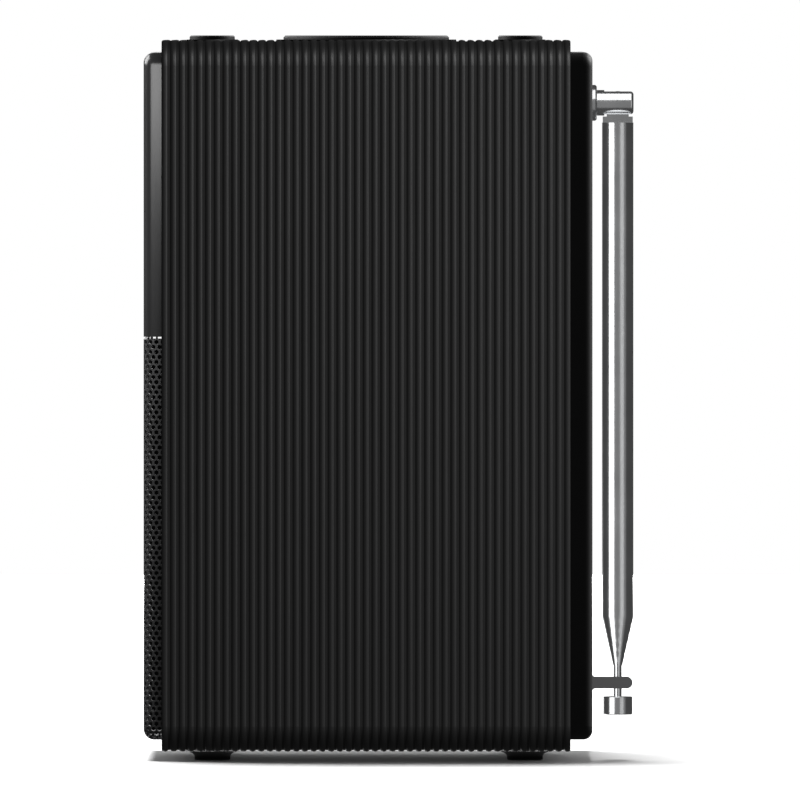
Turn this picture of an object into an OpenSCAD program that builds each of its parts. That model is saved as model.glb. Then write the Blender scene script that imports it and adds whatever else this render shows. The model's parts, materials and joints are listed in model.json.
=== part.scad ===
// Compact tabletop radio: a ribbed sleeve closed by a front baffle and a rear cover,
// one full-range speaker, a jog dial, four push buttons and a telescopic aerial.
// Millimetres, +Z up, front towards -Y, origin on the table under the middle of the radio.

/* [Cabinet] */
// Width of the ribbed sleeve
cabinet_w = 140; // [138:1:150]
// Depth of the ribbed sleeve, front edge to back edge
sleeve_d = 111.6; // [110:0.1:116]
// Height of the ribbed sleeve
sleeve_h = 194.3; // [194:0.1:198]
// Outer corner radius of the sleeve
sleeve_r = 7; // [6.8:0.1:7.4]
// Wall of the sleeve, rib crest to inside
wall = 3; // [2.8:0.1:3.2]
// Number of ribs round the sleeve
rib_count = 47; // [40:1:50]
// Width of one rib at its root
rib_w = 1.7; // [1.4:0.1:1.9]
// Height of one rib
rib_depth = 0.4; // [0.3:0.1:0.7]
// How far the front panel stands out of the sleeve
front_proud = 4.9; // [4.7:0.1:5.2]
// How far the rear cover stands out of the sleeve
back_proud = 6; // [5.8:0.1:6.4]
// Step from the rib crests in to the front panel and the rear cover
face_inset = 3.3; // [3.1:0.1:3.4]
// Rounding of the front panel's edge
front_edge_r = 2.9; // [2.6:0.1:3.2]
// Rounding of the rear cover's edge
back_edge_r = 2.5; // [2.4:0.1:2.9]
// Height of the line between the front panel and the speaker grille
split_z = 115.45; // [114:0.1:118]

/* [Feet] */
// Gap between the table and the sleeve
foot_gap = 2.5; // [2.3:0.1:3]
// Radius of a foot's rubber pad
foot_pad_r = 4.9; // [4.5:0.1:5.5]
// Radius of a foot where it meets the sleeve
foot_flare_r = 8.4; // [8:0.1:9]
// Distance of the feet from the sleeve's middle, to each side
foot_x = 50; // [46:1:54]
// Distance of the front feet ahead of the sleeve's middle
foot_front = 42; // [40:0.5:43]
// Distance of the rear feet behind the sleeve's middle
foot_back = 43.4; // [40:0.1:44]

/* [Controls] */
// Radius of the jog dial
dial_r = 22.75; // [21:0.25:24]
// Radius of a push button
button_r = 5.95; // [5.5:0.05:6.2]
// How far the dial and the buttons stand above the rib crests
control_proud = 1.2; // [1:0.1:1.6]
// Outer radius of the flat collar round the dial
dial_collar_r = 24.7; // [24:0.1:26]
// Outer radius of the flat collar round each button
button_collar_r = 6.8; // [6.6:0.1:7.4]
// Distance of the buttons from the dial's axis, to each side
button_x = 45; // [42:1:46]
// Distance of the buttons from the dial's axis, front and back
button_y = 42.3; // [41:0.1:43]

/* [Display] */
// Width of the display window
window_w = 82; // [70:1:90]
// Height of the display window
window_h = 40; // [34:1:44]
// Height of the window's middle above the table
window_z = 156; // [150:1:160]

/* [Speaker] */
// Outer radius of the speaker's flange
speaker_r = 46; // [44:1:48]
// Height of the speaker's axis above the table
speaker_z = 61; // [58:1:62]

/* [Aerial] */
// Distance of the aerial from the radio's middle
aerial_x = 48; // [44:1:50]
// Height of the aerial's elbow above the table
pivot_z = 179.6; // [178:0.1:181]
// How far the elbow reaches behind the rear cover
elbow_reach = 11.3; // [11.2:0.1:11.6]
// Radius of the elbow's barrel
barrel_r = 3.5; // [3.4:0.1:3.6]
// Distance of the mast's axis behind the rear cover
mast_y = 7; // [6.9:0.1:7.1]
// Outer radii of the five mast tubes and the rod, outermost first
mast_r = [4.28, 3.68, 3.08, 2.48, 1.88, 1.1];
// Height at which the closed mast's nose cone starts
cone_top_z = 39; // [38:0.1:40]
// Height at which the nose cone ends on the rod
cone_end_z = 25.2; // [25:0.1:26]
// Radius of the mast's end cap
tip_r = 4; // [3.8:0.1:4.2]

/* [Hidden] */
$fn = 64;
eps = 0.01;

// Places along the depth, front to back
depth = front_proud + sleeve_d + back_proud + elbow_reach;
face_y = -depth / 2;
sleeve_y0 = face_y + front_proud;
sleeve_y1 = sleeve_y0 + sleeve_d;
sleeve_y = (sleeve_y0 + sleeve_y1) / 2;
back_y = sleeve_y1 + back_proud;
lap = 3;
baffle_y0 = sleeve_y0 + lap;
baffle_t = 3.4;
baffle_y1 = baffle_y0 + baffle_t;
cover_y0 = sleeve_y1 - lap;

// Places up the height
sleeve_z0 = foot_gap;
sleeve_z1 = foot_gap + sleeve_h;
mid_z = (sleeve_z0 + sleeve_z1) / 2;
ceiling_z = sleeve_z1 - wall;
control_z = sleeve_z1 + control_proud;

// Sizes of the sleeve's inside and of the two end faces
inner_w = cabinet_w - 2 * wall;
inner_h = sleeve_h - 2 * wall;
inner_r = sleeve_r - wall;
face_w = cabinet_w - 2 * face_inset;
face_h = sleeve_h - 2 * face_inset;
face_r = sleeve_r - face_inset;
rib_pitch = (sleeve_d - rib_w) / (rib_count - 1);
rib_steps = 6;
collar_proud = 0.1;

// Walls and fits
panel_t = 2.2;
mesh_t = 0.8;
cloth_t = 0.4;
cover_t = 2.2;
split_gap = 0.7;
slip = 0.05;
loose = 0.2;

// Screws: shank radius, pilot radius, clearance radius, head radius and head height
screw_r = 1.2;
pilot_r = 1.3;
small_pilot_r = 1.1;
clear_r = 1.6;
head_r = 2.6;
head_h = 1.8;

// Corner bosses of the sleeve
boss_r = 4;
boss_x = inner_w / 2 - 6;
boss_zs = [sleeve_z0 + wall + 7.2, ceiling_z - 7.2];
front_boss_l = 10;
back_boss_l = 14;
web_t = 6;

// Controls
carrier_t = 2;
carrier_z = ceiling_z - 4;
carrier_w = 104;
carrier_d = 96;
board_t = 1.6;
switch_board_z = carrier_z - 9.4;
stem_r = 2;
plunger_r = 1.75;
carrier_post = [48, 20];
switch_post = [48, 31];
shaft_r = 3;
shaft_flat = 1.6;
shaft_top_z = control_z - 2.1;
encoder_w = 12.4;
encoder_h = 6.4;
bush_top_z = ceiling_z - 1.9;

wire_sides = 8;

// Speaker, measured backwards from the baffle's rear face
speaker_hole_r = speaker_r - 6;
speaker_bolt_r = speaker_r - 3.5;
cone_r = speaker_r - 15;
coil_r = 12.5;
cone_depth = 12;
magnet_y = 22;
magnet_l = 16;
magnet_r = 28;
spider_folds = 11;
spider_wave = 0.9;
spider_t = 0.5;

// Connector bay and main board, as [left, bottom, width, height] seen in X and Z
bay = [-46, 24, 72, 22];
bay_rim = 2;
plate_t = 2;
main_board_box = [-55, 13.5, 90, 70.5];
main_posts = [[-51, 17.5], [31, 17.5], [-51, 80], [31, 80]];
plate_y1 = back_y - cover_t;
plate_y0 = plate_y1 - plate_t;
connector_l = 12;
main_board_y1 = plate_y0 - connector_l;
main_board_y0 = main_board_y1 - board_t;
port_z = 35;
dc_x = -35;
usb_x = -15;
jack_xs = [2, 17];
jack_r = 1.8;

// Aerial
flange_r = 4.9;
flange_t = 1.25;
shank_r = 3.5;
shank_l = 8.5;
spindle_r = 2.24;
slot_w = 3.2;
tongue_t = 3;
eye_r = 3.2;
pin_r = 0.9;
tube_top_z = pivot_z - 5.4;
tube_wall = 0.4;
nose_l = 3;
collar_l = 3;
cone_slope = (mast_r[0] - mast_r[5]) / (cone_top_z - cone_end_z);
tip_z0 = 12.35;
tip_z1 = 17.3;
rest_z = 21.2;
rest_x = 4;
rest_t = 3;
rest_reach = 11;
rest_h = 3.2;

// ---- Shapes that repeat ----

// Flat rounded rectangle
module rounded(w, h, r) {
    square([w - 2 * r, h], center = true);
    square([w, h - 2 * r], center = true);
    for (x = [-1, 1], y = [-1, 1])
        translate([x * (w / 2 - r), y * (h / 2 - r)])
            circle(r);
}

// Sweeps a profile round a rounded rectangle; the profile's X runs outwards from the corner's centre
module around(w, h, r) {
    spans = [[w / 2 - r, h - 2 * r, 0], [h / 2 - r, w - 2 * r, 90]];
    for (span = spans, half = [0, 180])
        rotate([0, 0, span[2] + half])
            translate([span[0], 0, 0])
                rotate([90, 0, 0])
                    linear_extrude(span[1], center = true)
                        children();
    for (turn = [0:3])
        translate([
            (turn == 0 || turn == 3 ? 1 : -1) * (w / 2 - r),
            (turn < 2 ? 1 : -1) * (h / 2 - r),
            0
        ])
            rotate([0, 0, 90 * turn])
                rotate_extrude(angle = 90)
                    children();
}

// Solid block with rounded corners and a rounded front edge
module pillow(w, h, r, depth, edge_r) {
    around(w, h, r)
        difference() {
            square([r, depth]);
            translate([r - edge_r, depth - edge_r])
                difference() {
                    square(edge_r + 1);
                    circle(edge_r);
                }
        }
    linear_extrude(depth)
        square([w - 2 * r, h - 2 * r], center = true);
}

// Open tray: a pillow hollowed from behind, with an even wall
module tray(w, h, r, depth, edge_r, t) {
    difference() {
        pillow(w, h, r, depth, edge_r);
        translate([0, 0, -1])
            pillow(w - 2 * t, h - 2 * t, r - t, depth - t + 1, edge_r - t);
    }
}

// Block between two corners
module block(a, b) {
    translate(a)
        cube(b - a);
}

// Puts a shape drawn along +Z on an axis that runs to the back
module to_back(x, y, z) {
    translate([x, y, z])
        rotate([-90, 0, 0])
            children();
}

// Puts a shape drawn along +Z on an axis that runs to the front
module to_front(y, z) {
    translate([0, y, z])
        rotate([90, 0, 0])
            children();
}

module rod_back(x, y, z, r, l) {
    to_back(x, y, z)
        cylinder(r = r, h = l);
}

// Pan-head screw along +Z: the shank starts at the head's underside
module screw(l) {
    cylinder(r = screw_r, h = l);
    translate([0, 0, -head_h])
        difference() {
            cylinder(r = head_r, h = head_h);
            for (turn = [0, 90])
                rotate([0, 0, turn])
                    translate([-1.6, -0.35, -1])
                        cube([3.2, 0.7, 2]);
        }
}

// Direction of a wire at point i, and one ring of its surface there
function heading(points, i) =
    let (
        into = i == 0 ? [0, 0, 0] : points[i] - points[i - 1],
        out = i == len(points) - 1 ? [0, 0, 0] : points[i + 1] - points[i],
        sum = into / max(norm(into), eps) + out / max(norm(out), eps)
    )
        sum / norm(sum);
function ring(at, d, side, r) =
    let (flat = side - (side * d) * d, u = flat / norm(flat), v = cross(d, u))
        [
            for (k = [0:wire_sides - 1])
                let (a = 360 * k / wire_sides)
                    at + r * (cos(a) * u + sin(a) * v)
        ];

// Wire through a list of points, swept ring by ring; side is a direction that the route never takes
module wire(points, r, side) {
    n = wire_sides;
    last = len(points) - 1;
    skin = [
        for (i = [0:last])
            each ring(points[i], heading(points, i), side, r)
    ];
    sides = [
        for (i = [0:last - 1], k = [0:n - 1])
            [i * n + k, i * n + (k + 1) % n, (i + 1) * n + (k + 1) % n, (i + 1) * n + k]
    ];
    polyhedron(skin, concat([[for (k = [n - 1:-1:0]) k]], sides, [[for (k = [0:n - 1]) last * n + k]]));
}

module at_corners(x, zs) {
    for (side = [-1, 1], z = zs)
        translate([side * x, 0, z])
            children();
}

// ---- Cabinet ----

// Outline of the sleeve's wall, along the depth: a half-ellipse rib on every pitch
rib_line = [
    for (i = [0:rib_count - 1], k = [0:rib_steps])
        let (a = 180 * k / rib_steps)
            [
                sleeve_r - rib_depth * (1 - sin(a)),
                -sleeve_d / 2 + i * rib_pitch + rib_w / 2 * (1 - cos(a))
            ]
];

module sleeve_boss(y, l, side, z) {
    rod_back(side * boss_x, y, z, boss_r, l);
    wall_x = side * (inner_w / 2 + 1);
    block(
        [min(side * boss_x, wall_x), y, z - web_t / 2],
        [max(side * boss_x, wall_x), y + l, z + web_t / 2]
    );
}

module at_buttons(z) {
    for (x = [-1, 1], y = [-1, 1])
        translate([x * button_x, sleeve_y + y * button_y, z])
            children();
}

module cabinet_sleeve() {
    collar_h = wall - 1 + collar_proud;
    color("#161616")
        difference() {
            union() {
                to_front(sleeve_y, mid_z)
                    around(cabinet_w, sleeve_h, sleeve_r)
                        polygon(concat(
                            [[inner_r, -sleeve_d / 2]],
                            rib_line,
                            [[inner_r, sleeve_d / 2]]
                        ));
                for (side = [-1, 1], z = boss_zs) {
                    sleeve_boss(baffle_y1, front_boss_l, side, z);
                    sleeve_boss(cover_y0 - back_boss_l, back_boss_l, side, z);
                }
                for (x = [-1, 1], y = [-1, 1])
                    translate([x * carrier_post[0], sleeve_y + y * carrier_post[1], carrier_z + carrier_t])
                        cylinder(r = 3.5, h = ceiling_z - carrier_z - carrier_t + 1);
                translate([0, sleeve_y, ceiling_z + 1])
                    cylinder(r = dial_collar_r, h = collar_h, $fn = 96);
                at_buttons(ceiling_z + 1)
                    cylinder(r = button_collar_r, h = collar_h);
            }
            for (side = [-1, 1], z = boss_zs) {
                rod_back(side * boss_x, baffle_y1 - 1, z, pilot_r, front_boss_l);
                rod_back(side * boss_x, cover_y0 - back_boss_l + 2, z, pilot_r, back_boss_l);
            }
            for (x = [-1, 1], y = [-1, 1])
                translate([x * carrier_post[0], sleeve_y + y * carrier_post[1], carrier_z])
                    cylinder(r = small_pilot_r, h = 5.4);
            translate([0, sleeve_y, ceiling_z - 1])
                cylinder(r = dial_r + 0.45, h = wall + 2, $fn = 96);
            at_buttons(ceiling_z - 1)
                cylinder(r = button_r + 0.3, h = wall + 2);
            for (x = [-1, 1], y = [-foot_front, foot_back])
                translate([x * foot_x, sleeve_y + y, sleeve_z0 - 1])
                    cylinder(r = 3.1, h = wall + 2);
        }
}

module front_baffle() {
    color("#202020")
        difference() {
            union() {
                to_front(baffle_y1, mid_z)
                    linear_extrude(baffle_t)
                        rounded(inner_w - 2 * loose, inner_h - 2 * loose, inner_r - loose);
                for (x = [-1, 1], z = [-1, 1])
                    rod_back(x * 44, baffle_y0 - 1.1, window_z + z * 19, 2.5, 2);
            }
            rod_back(0, baffle_y0 - 1, speaker_z, speaker_hole_r, baffle_t + 2);
            at_corners(boss_x, boss_zs)
                rod_back(0, baffle_y0 - 1, 0, clear_r, baffle_t + 2);
            at_corners(boss_x, boss_zs)
                rod_back(0, baffle_y0 - 1, 0, head_r + 0.2, head_h + 1.2);
            for (turn = [45:90:315])
                rod_back(
                    speaker_bolt_r * cos(turn), baffle_y0 + 0.8, speaker_z + speaker_bolt_r * sin(turn),
                    pilot_r, baffle_t
                );
            for (x = [-1, 1], z = [-1, 1])
                rod_back(x * 44, baffle_y0 - 2, window_z + z * 19, small_pilot_r, 4);
            at_corners(58, [split_z + 12, window_z + 24])
                rod_back(0, baffle_y0 - 1, 0, clear_r, baffle_t + 2);
            block([-16, baffle_y0 - 1, 178.4], [16, baffle_y1 + 1, 180.2]);
        }
}

module above_split(bottom) {
    block([-cabinet_w, face_y - 1, bottom], [cabinet_w, baffle_y1, sleeve_z1 + 1]);
}

module front_shell(t) {
    to_front(baffle_y0, mid_z)
        tray(face_w, face_h, face_r, front_proud + lap, front_edge_r, t);
}

module front_panel() {
    bottom = split_z + split_gap / 2;
    color("#1b1c1e")
        difference() {
            union() {
                intersection() {
                    front_shell(panel_t);
                    above_split(bottom);
                }
                block(
                    [-face_w / 2 + panel_t - 1, face_y + panel_t - 1, bottom],
                    [face_w / 2 - panel_t + 1, baffle_y0, bottom + panel_t]
                );
                at_corners(58, [split_z + 12, window_z + 24])
                    rod_back(0, face_y + 1, 0, clear_r - 0.1, front_proud + lap + 2);
            }
            to_front(face_y + panel_t + 1, window_z)
                linear_extrude(panel_t + 2)
                    rounded(window_w, window_h, 3);
        }
}

module display_lens() {
    color("#0a0b0c")
        to_front(face_y + panel_t, window_z)
            linear_extrude(panel_t)
                rounded(window_w - 0.2, window_h - 0.2, 2.9);
}

module display_module() {
    y = face_y + panel_t;
    color("#39413f")
        difference() {
            block(
                [-window_w / 2 + 2, y, window_z - window_h / 2 + 2],
                [window_w / 2 - 2, y + 3, window_z + window_h / 2 - 2]
            );
            block(
                [-window_w / 2 + 6, y - 1, window_z - window_h / 2 + 6],
                [window_w / 2 - 6, y + 0.4, window_z + window_h / 2 - 6]
            );
        }
}

module display_board() {
    y = face_y + panel_t + 3;
    color("#1d4a2c")
        difference() {
            block([-48, y, window_z - 23], [48, y + board_t, window_z + 25]);
            for (x = [-1, 1], z = [-1, 1])
                rod_back(x * 44, y - 1, window_z + z * 19, clear_r, board_t + 2);
        }
}

module grille_mesh() {
    top = split_z - split_gap / 2;
    color("#262626") {
        intersection() {
            front_shell(mesh_t);
            block([-cabinet_w, face_y - 1, 0], [cabinet_w, baffle_y1, top]);
        }
        block(
            [-face_w / 2 + mesh_t - 0.4, face_y + mesh_t - 0.4, top - mesh_t],
            [face_w / 2 - mesh_t + 0.4, baffle_y0, top]
        );
    }
}

// Acoustic cloth bonded all over the inside of the grille
module grille_cloth() {
    color("#101010")
        intersection() {
            to_front(baffle_y0, mid_z)
                tray(
                    face_w - 2 * mesh_t, face_h - 2 * mesh_t, face_r - mesh_t,
                    front_proud + lap - mesh_t, front_edge_r - mesh_t, cloth_t
                );
            block([-cabinet_w, face_y - 1, 0], [cabinet_w, baffle_y1, split_z - split_gap / 2 - mesh_t]);
        }
}

// ---- Speaker ----

module on_speaker() {
    to_back(0, baffle_y1, speaker_z)
        children();
}

module speaker_basket() {
    color("#2b2b2b")
        on_speaker()
            difference() {
                rotate_extrude($fn = 96)
                    polygon([
                        [cone_r + 6, 0], [speaker_r, 0], [speaker_r, 2], [speaker_r - 6, 2],
                        [magnet_r, magnet_y - 2], [magnet_r, magnet_y], [coil_r + 3.5, magnet_y],
                        [coil_r + 3.5, magnet_y - 2], [magnet_r - 2, magnet_y - 2], [cone_r + 6, 3]
                    ]);
                for (turn = [45:90:315])
                    rotate([0, 0, turn])
                        translate([speaker_bolt_r, 0, -1])
                            cylinder(r = clear_r, h = 4);
                for (turn = [0:60:300])
                    rotate([0, 0, turn])
                        translate([0, -7, 6])
                            cube([speaker_r, 14, magnet_y - 11]);
            }
}

module speaker_magnet() {
    color("#4a4a4c")
        on_speaker()
            translate([0, 0, magnet_y])
                difference() {
                    cylinder(r = magnet_r, h = magnet_l);
                    translate([0, 0, -1])
                        difference() {
                            cylinder(r = coil_r + 0.9, h = 11);
                            cylinder(r = coil_r - 1.1, h = 12);
                        }
                    translate([0, 0, -1])
                        cylinder(r = 3, h = magnet_l + 2);
                    for (z = [4, magnet_l - 4])
                        translate([0, 0, z])
                            rotate_extrude()
                                translate([magnet_r, 0])
                                    square([1.6, 0.8], center = true);
                }
}

module speaker_spider() {
    color("#b0804a")
        on_speaker()
            translate([0, 0, magnet_y - 2 - spider_t - spider_wave])
                rotate_extrude()
                    polygon(concat(
                        [for (i = [0:spider_folds]) [coil_r + 0.4 + i, (i % 2) * spider_wave]],
                        [for (i = [spider_folds:-1:0]) [coil_r + 0.4 + i, (i % 2) * spider_wave + spider_t]]
                    ));
}

module speaker_surround() {
    roll = 3;
    middle = cone_r + roll + 0.2;
    color("#1a1a1a")
        on_speaker()
            rotate_extrude($fn = 96) {
                translate([middle, 0])
                    difference() {
                        circle(roll);
                        circle(roll - 0.6);
                        translate([-roll - 1, 0])
                            square([2 * roll + 2, roll + 1]);
                    }
                translate([middle + roll - 0.6, -0.6])
                    square([2.6, 0.6]);
            }
}

module speaker_cone() {
    color("#15171a")
        on_speaker()
            rotate_extrude($fn = 96)
                polygon([
                    [cone_r + 0.1, 0], [cone_r + 0.1, 0.7], [cone_r * 0.68, cone_depth * 0.52],
                    [coil_r + 0.35, cone_depth + 0.8], [coil_r + 0.35, cone_depth],
                    [cone_r * 0.66, cone_depth * 0.45], [cone_r - 0.8, 0]
                ]);
}

module dust_cap() {
    bowl = 17;
    rise = sqrt(bowl * bowl - coil_r * coil_r);
    color("#101214")
        on_speaker()
            translate([0, 0, cone_depth - 0.2])
                rotate_extrude()
                    intersection() {
                        translate([0, rise])
                            difference() {
                                circle(bowl);
                                circle(bowl - 0.6);
                            }
                        translate([0, -bowl])
                            square([coil_r - 0.1, bowl]);
                    }
}

module voice_coil() {
    color("#b06030")
        on_speaker()
            translate([0, 0, cone_depth - 0.2])
                difference() {
                    cylinder(r = coil_r + 0.35, h = 16);
                    translate([0, 0, -1])
                        cylinder(r = coil_r - 0.1, h = 18);
                    translate([0, 0, -1])
                        difference() {
                            cylinder(r = coil_r + 1, h = 11);
                            translate([0, 0, -1])
                                cylinder(r = coil_r + 0.35 - 0.25, h = 13);
                        }
                }
}

module baffle_screws() {
    color("#8a8a8c") {
        at_corners(boss_x, boss_zs)
            to_back(0, baffle_y0 + head_h + 0.2, 0)
                screw(8);
        for (turn = [45:90:315])
            translate([
                speaker_bolt_r * cos(turn), baffle_y1 + 2, speaker_z + speaker_bolt_r * sin(turn)
            ])
                rotate([90, 0, 0])
                    screw(4.6);
    }
}

// ---- Rear cover ----

module back_cover() {
    post_l = cover_y0 - (back_y - cover_t);
    color("#121212")
        difference() {
            union() {
                translate([0, cover_y0, mid_z])
                    rotate([90, 0, 180])
                        tray(face_w, face_h, face_r, back_proud + lap, back_edge_r, cover_t);
                at_corners(boss_x, boss_zs)
                    rod_back(0, cover_y0, 0, boss_r, -post_l + 1);
                for (post = main_posts)
                    rod_back(post[0], main_board_y1, post[1], boss_r - 0.5, back_y - 1 - main_board_y1);
            }
            at_corners(boss_x, boss_zs)
                rod_back(0, cover_y0 - 1, 0, clear_r, back_proud + lap + 2);
            at_corners(boss_x, boss_zs)
                rod_back(0, back_y - head_h - 0.6, 0, head_r + 0.3, head_h + 2);
            for (post = main_posts)
                rod_back(post[0], main_board_y1 - 1, post[1], pilot_r, 10);
            rod_back(aerial_x, back_y - 4, pivot_z, shank_r + 0.1, 6);
            block(
                [bay[0], back_y - 4, bay[1]],
                [bay[0] + bay[2], back_y + 1, bay[1] + bay[3]]
            );
            block(
                [aerial_x + rest_x + 0.2, back_y - 4, rest_z - 1.3],
                [aerial_x + rest_x + rest_t - 0.2, back_y + 1, rest_z + 1.3]
            );
            for (row = [0:7])
                block(
                    [-30, back_y - 4, 108 + row * 5],
                    [30, back_y + 1, 110 + row * 5]
                );
        }
}

module cover_screws() {
    color("#2c2c2e")
        at_corners(boss_x, boss_zs)
            translate([0, back_y - 0.6, 0])
                rotate([90, 0, 0])
                    translate([0, 0, head_h])
                        screw(14);
}

module connector_plate() {
    color("#1a1a1a")
        difference() {
            block(
                [bay[0] - bay_rim, plate_y0, bay[1] - bay_rim],
                [bay[0] + bay[2] + bay_rim, plate_y1, bay[1] + bay[3] + bay_rim]
            );
            rod_back(dc_x, plate_y0 - 1, port_z, 4.2, plate_t + 2);
            for (x = jack_xs)
                rod_back(x, plate_y0 - 1, port_z, 3.1, plate_t + 2);
            to_front(plate_y1 + 1, port_z)
                translate([usb_x, 0])
                    linear_extrude(plate_t + 2)
                        rounded(9.6, 3.8, 1.8);
        }
}

module dc_jack() {
    color("#0e0e0e") {
        difference() {
            union() {
                block([dc_x - 5.5, main_board_y1, port_z - 5.5], [dc_x + 5.5, plate_y0, port_z + 5.5]);
                rod_back(dc_x, plate_y0 - 1, port_z, 4.1, plate_t + 1);
            }
            rod_back(dc_x, plate_y1 - 10, port_z, 2.75, 11);
        }
        rod_back(dc_x, plate_y1 - 10.5, port_z, 1, 9.5);
    }
}

module audio_jacks() {
    color("#141414")
        for (x = jack_xs)
            difference() {
                union() {
                    block([x - 4.5, main_board_y1, port_z - 5.5], [x + 4.5, plate_y0, port_z + 5.5]);
                    rod_back(x, plate_y0 - 1, port_z, 3, plate_t + 1);
                }
                rod_back(x, plate_y1 - 13, port_z, jack_r, 14);
            }
}

module usb_port() {
    color("#9a9a9c") {
        difference() {
            union() {
                block([usb_x - 6, main_board_y1, port_z - 3], [usb_x + 6, plate_y0, port_z + 3]);
                to_front(plate_y1, port_z)
                    translate([usb_x, 0])
                        linear_extrude(plate_t + 1)
                            rounded(9.4, 3.6, 1.7);
            }
            to_front(plate_y1 + 1, port_z)
                translate([usb_x, 0])
                    linear_extrude(8)
                        rounded(8.6, 2.8, 1.35);
        }
        block([usb_x - 3.3, plate_y1 - 7.5, port_z - 0.4], [usb_x + 3.3, plate_y1 - 1, port_z + 0.4]);
    }
}

// ---- Electronics ----

module main_board() {
    color("#1d4a2c")
        difference() {
            block(
                [main_board_box[0], main_board_y0, main_board_box[1]],
                [
                    main_board_box[0] + main_board_box[2], main_board_y1,
                    main_board_box[1] + main_board_box[3]
                ]
            );
            for (post = main_posts)
                rod_back(post[0], main_board_y0 - 1, post[1], clear_r, board_t + 2);
        }
}

module board_screws() {
    color("#a0a0a2") {
        for (post = main_posts)
            to_back(post[0], main_board_y0, post[1])
                screw(8);
        for (x = [-1, 1], y = [-1, 1]) {
            translate([x * carrier_post[0], sleeve_y + y * carrier_post[1], carrier_z])
                small_screw(5);
            translate([x * switch_post[0], sleeve_y + y * switch_post[1], switch_board_z])
                small_screw(8);
        }
        for (x = [-1, 1], z = [-1, 1])
            to_back(x * 44, face_y + panel_t + 3, window_z + z * 19)
                small_screw(4.5);
    }
}

module small_screw(l) {
    cylinder(r = 1, h = l);
    translate([0, 0, -1.2])
        cylinder(r = 2, h = 1.2);
}

module tuner_can() {
    color("#b8bcc0")
        difference() {
            block([-42, main_board_y0 - 7, 52], [-12, main_board_y0, 76]);
            for (x = [-37:5:-17], z = [57:5:72])
                rod_back(x, main_board_y0 - 8, z, 0.8, 2);
        }
}

module board_chips() {
    color("#1c1c1e")
        for (chip = [[-34, 42, 12, 9], [-12, 42, 7, 7], [24, 70, 8, 12], [-48, 64, 5, 9], [4, 44, 6, 5]])
            block(
                [chip[0] - chip[2] / 2, main_board_y0 - 1.5, chip[1] - chip[3] / 2],
                [chip[0] + chip[2] / 2, main_board_y0, chip[1] + chip[3] / 2]
            );
}

module capacitors() {
    color("#24324f")
        for (can = [
            [-44, 26, 4, 12], [-33, 26, 4, 12], [-22, 26, 3.2, 10], [25, 32, 5, 16], [25, 46, 5, 16]
        ])
            difference() {
                rod_back(can[0], main_board_y0 - can[3], can[1], can[2], can[3]);
                for (turn = [0, 90])
                    to_back(can[0], main_board_y0 - can[3], can[1])
                        rotate([0, 0, turn])
                            cube([can[2], 0.3, 0.4], center = true);
            }
}

module heat_sink() {
    base_t = 2;
    fin_l = 12;
    color("#303234") {
        block([-8, main_board_y0 - base_t, 52], [16, main_board_y0, 78]);
        for (i = [0:6])
            block(
                [-8 + i * 3.8, main_board_y0 - base_t - fin_l, 52],
                [-8 + i * 3.8 + 1.2, main_board_y0 - base_t + eps, 78]
            );
    }
}

// ---- Dial and buttons ----

module control_carrier() {
    color("#242424")
        difference() {
            union() {
                translate([-carrier_w / 2, sleeve_y - carrier_d / 2, carrier_z])
                    cube([carrier_w, carrier_d, carrier_t]);
                at_buttons(carrier_z - 1.5)
                    cylinder(r = 4, h = 2);
                for (x = [-1, 1], y = [-1, 1])
                    translate([x * switch_post[0], sleeve_y + y * switch_post[1], switch_board_z + board_t])
                        cylinder(r = 3.2, h = carrier_z - switch_board_z - board_t + 1);
            }
            translate([0, sleeve_y, carrier_z - 1])
                cylinder(r = 4.6, h = carrier_t + 2);
            at_buttons(carrier_z - 3)
                cylinder(r = stem_r + slip, h = carrier_t + 5);
            for (x = [-1, 1], y = [-1, 1]) {
                translate([x * carrier_post[0], sleeve_y + y * carrier_post[1], carrier_z - 1])
                    cylinder(r = 1.2, h = carrier_t + 2);
                translate([x * switch_post[0], sleeve_y + y * switch_post[1], switch_board_z])
                    cylinder(r = small_pilot_r, h = 9);
            }
        }
}

module control_board() {
    color("#1d4a2c")
        difference() {
            translate([-carrier_w / 2, sleeve_y - carrier_d / 2, switch_board_z])
                cube([carrier_w, carrier_d, board_t]);
            for (x = [-1, 1], y = [-1, 1])
                translate([x * switch_post[0], sleeve_y + y * switch_post[1], switch_board_z - 1])
                    cylinder(r = 1.2, h = board_t + 2);
        }
}

module on_control_board() {
    translate([0, sleeve_y, switch_board_z + board_t])
        children();
}

module encoder_body() {
    bush_l = bush_top_z - switch_board_z - board_t;
    color("#3a3c3e")
        on_control_board()
            difference() {
                union() {
                    translate([-encoder_w / 2, -encoder_w / 2, 0])
                        cube([encoder_w, encoder_w, encoder_h]);
                    cylinder(r = 3.6, h = bush_l);
                }
                translate([0, 0, 1])
                    cylinder(r = 5, h = encoder_h - 2.2);
                translate([0, 0, 2])
                    cylinder(r = shaft_r + slip, h = bush_l);
            }
}

module encoder_slider() {
    color("#d8d8d2")
        on_control_board()
            translate([0, 0, 2.6])
                difference() {
                    cylinder(r = 4.7, h = 1.6);
                    translate([0, 0, -1])
                        cylinder(r = shaft_r + slip, h = 4);
                }
}

module encoder_shaft() {
    bottom = switch_board_z + board_t + 1.8;
    color("#a8aaac")
        difference() {
            union() {
                translate([0, sleeve_y, bottom])
                    cylinder(r = shaft_r, h = shaft_top_z - bottom);
                on_control_board()
                    translate([0, 0, 4.3])
                        cylinder(r = 4.2, h = 0.7);
            }
            translate([shaft_flat, sleeve_y - 5, bush_top_z + 0.7])
                cube([5, 10, 10]);
        }
}

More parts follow.
